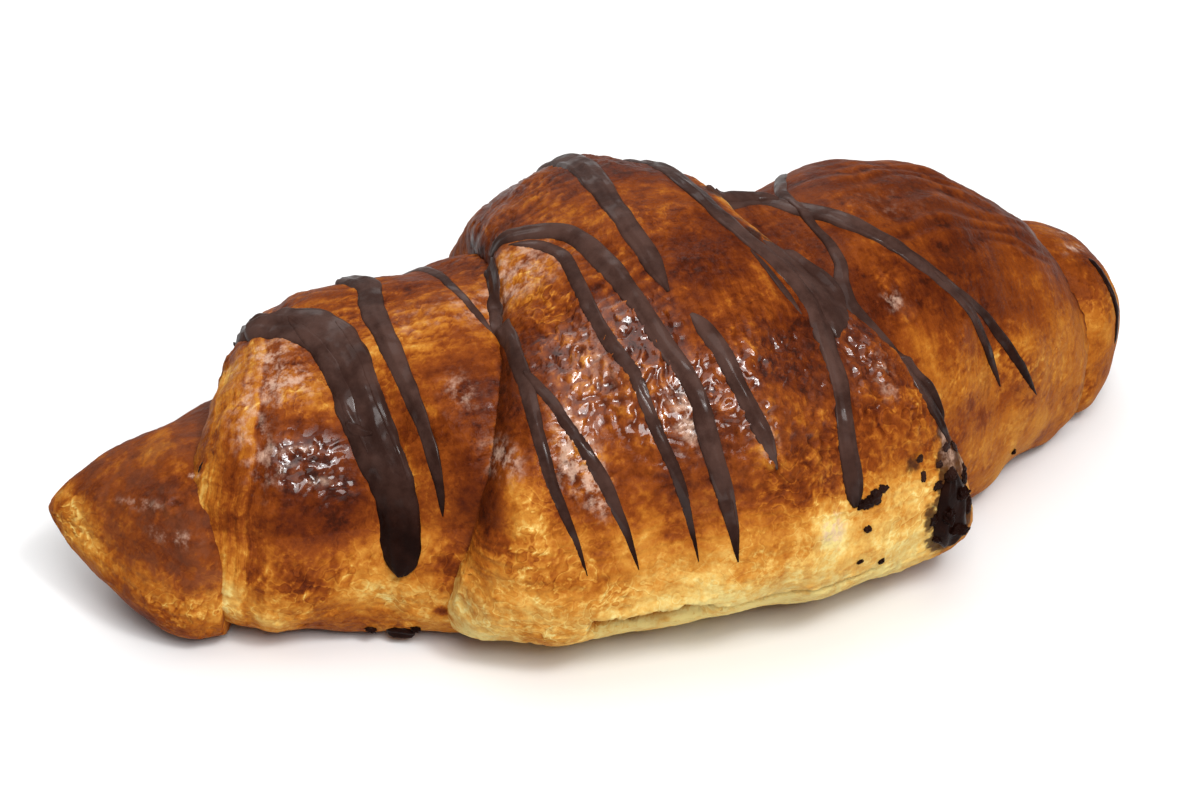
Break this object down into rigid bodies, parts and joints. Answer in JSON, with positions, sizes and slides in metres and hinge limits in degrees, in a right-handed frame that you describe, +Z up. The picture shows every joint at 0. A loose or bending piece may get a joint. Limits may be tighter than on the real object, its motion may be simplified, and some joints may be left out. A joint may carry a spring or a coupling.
{
  "type": "rolled chocolate-drizzled pastry",
  "caption": "Crescent-shaped rolled pastry of flaky golden-brown dough with a raised middle turn, tapering horns and dark chocolate drizzle over its top.",
  "frame": {"origin": "centre of the bounding box at the surface that the pastry rests on", "axes": "+X along the roll from the pointed horn to the blunt one, +Y to the back, +Z up from the resting face"},
  "size_m": [0.18, 0.0874, 0.0609],
  "materials": {
    "crust": "egg-washed golden to red-brown crust with a patchy gloss; stands in for baked dough",
    "chocolate": "set dark chocolate with a satin gloss"
  },
  "bodies": {
    "root": {"croissant": "crust"}
  },
  "joints": []
}
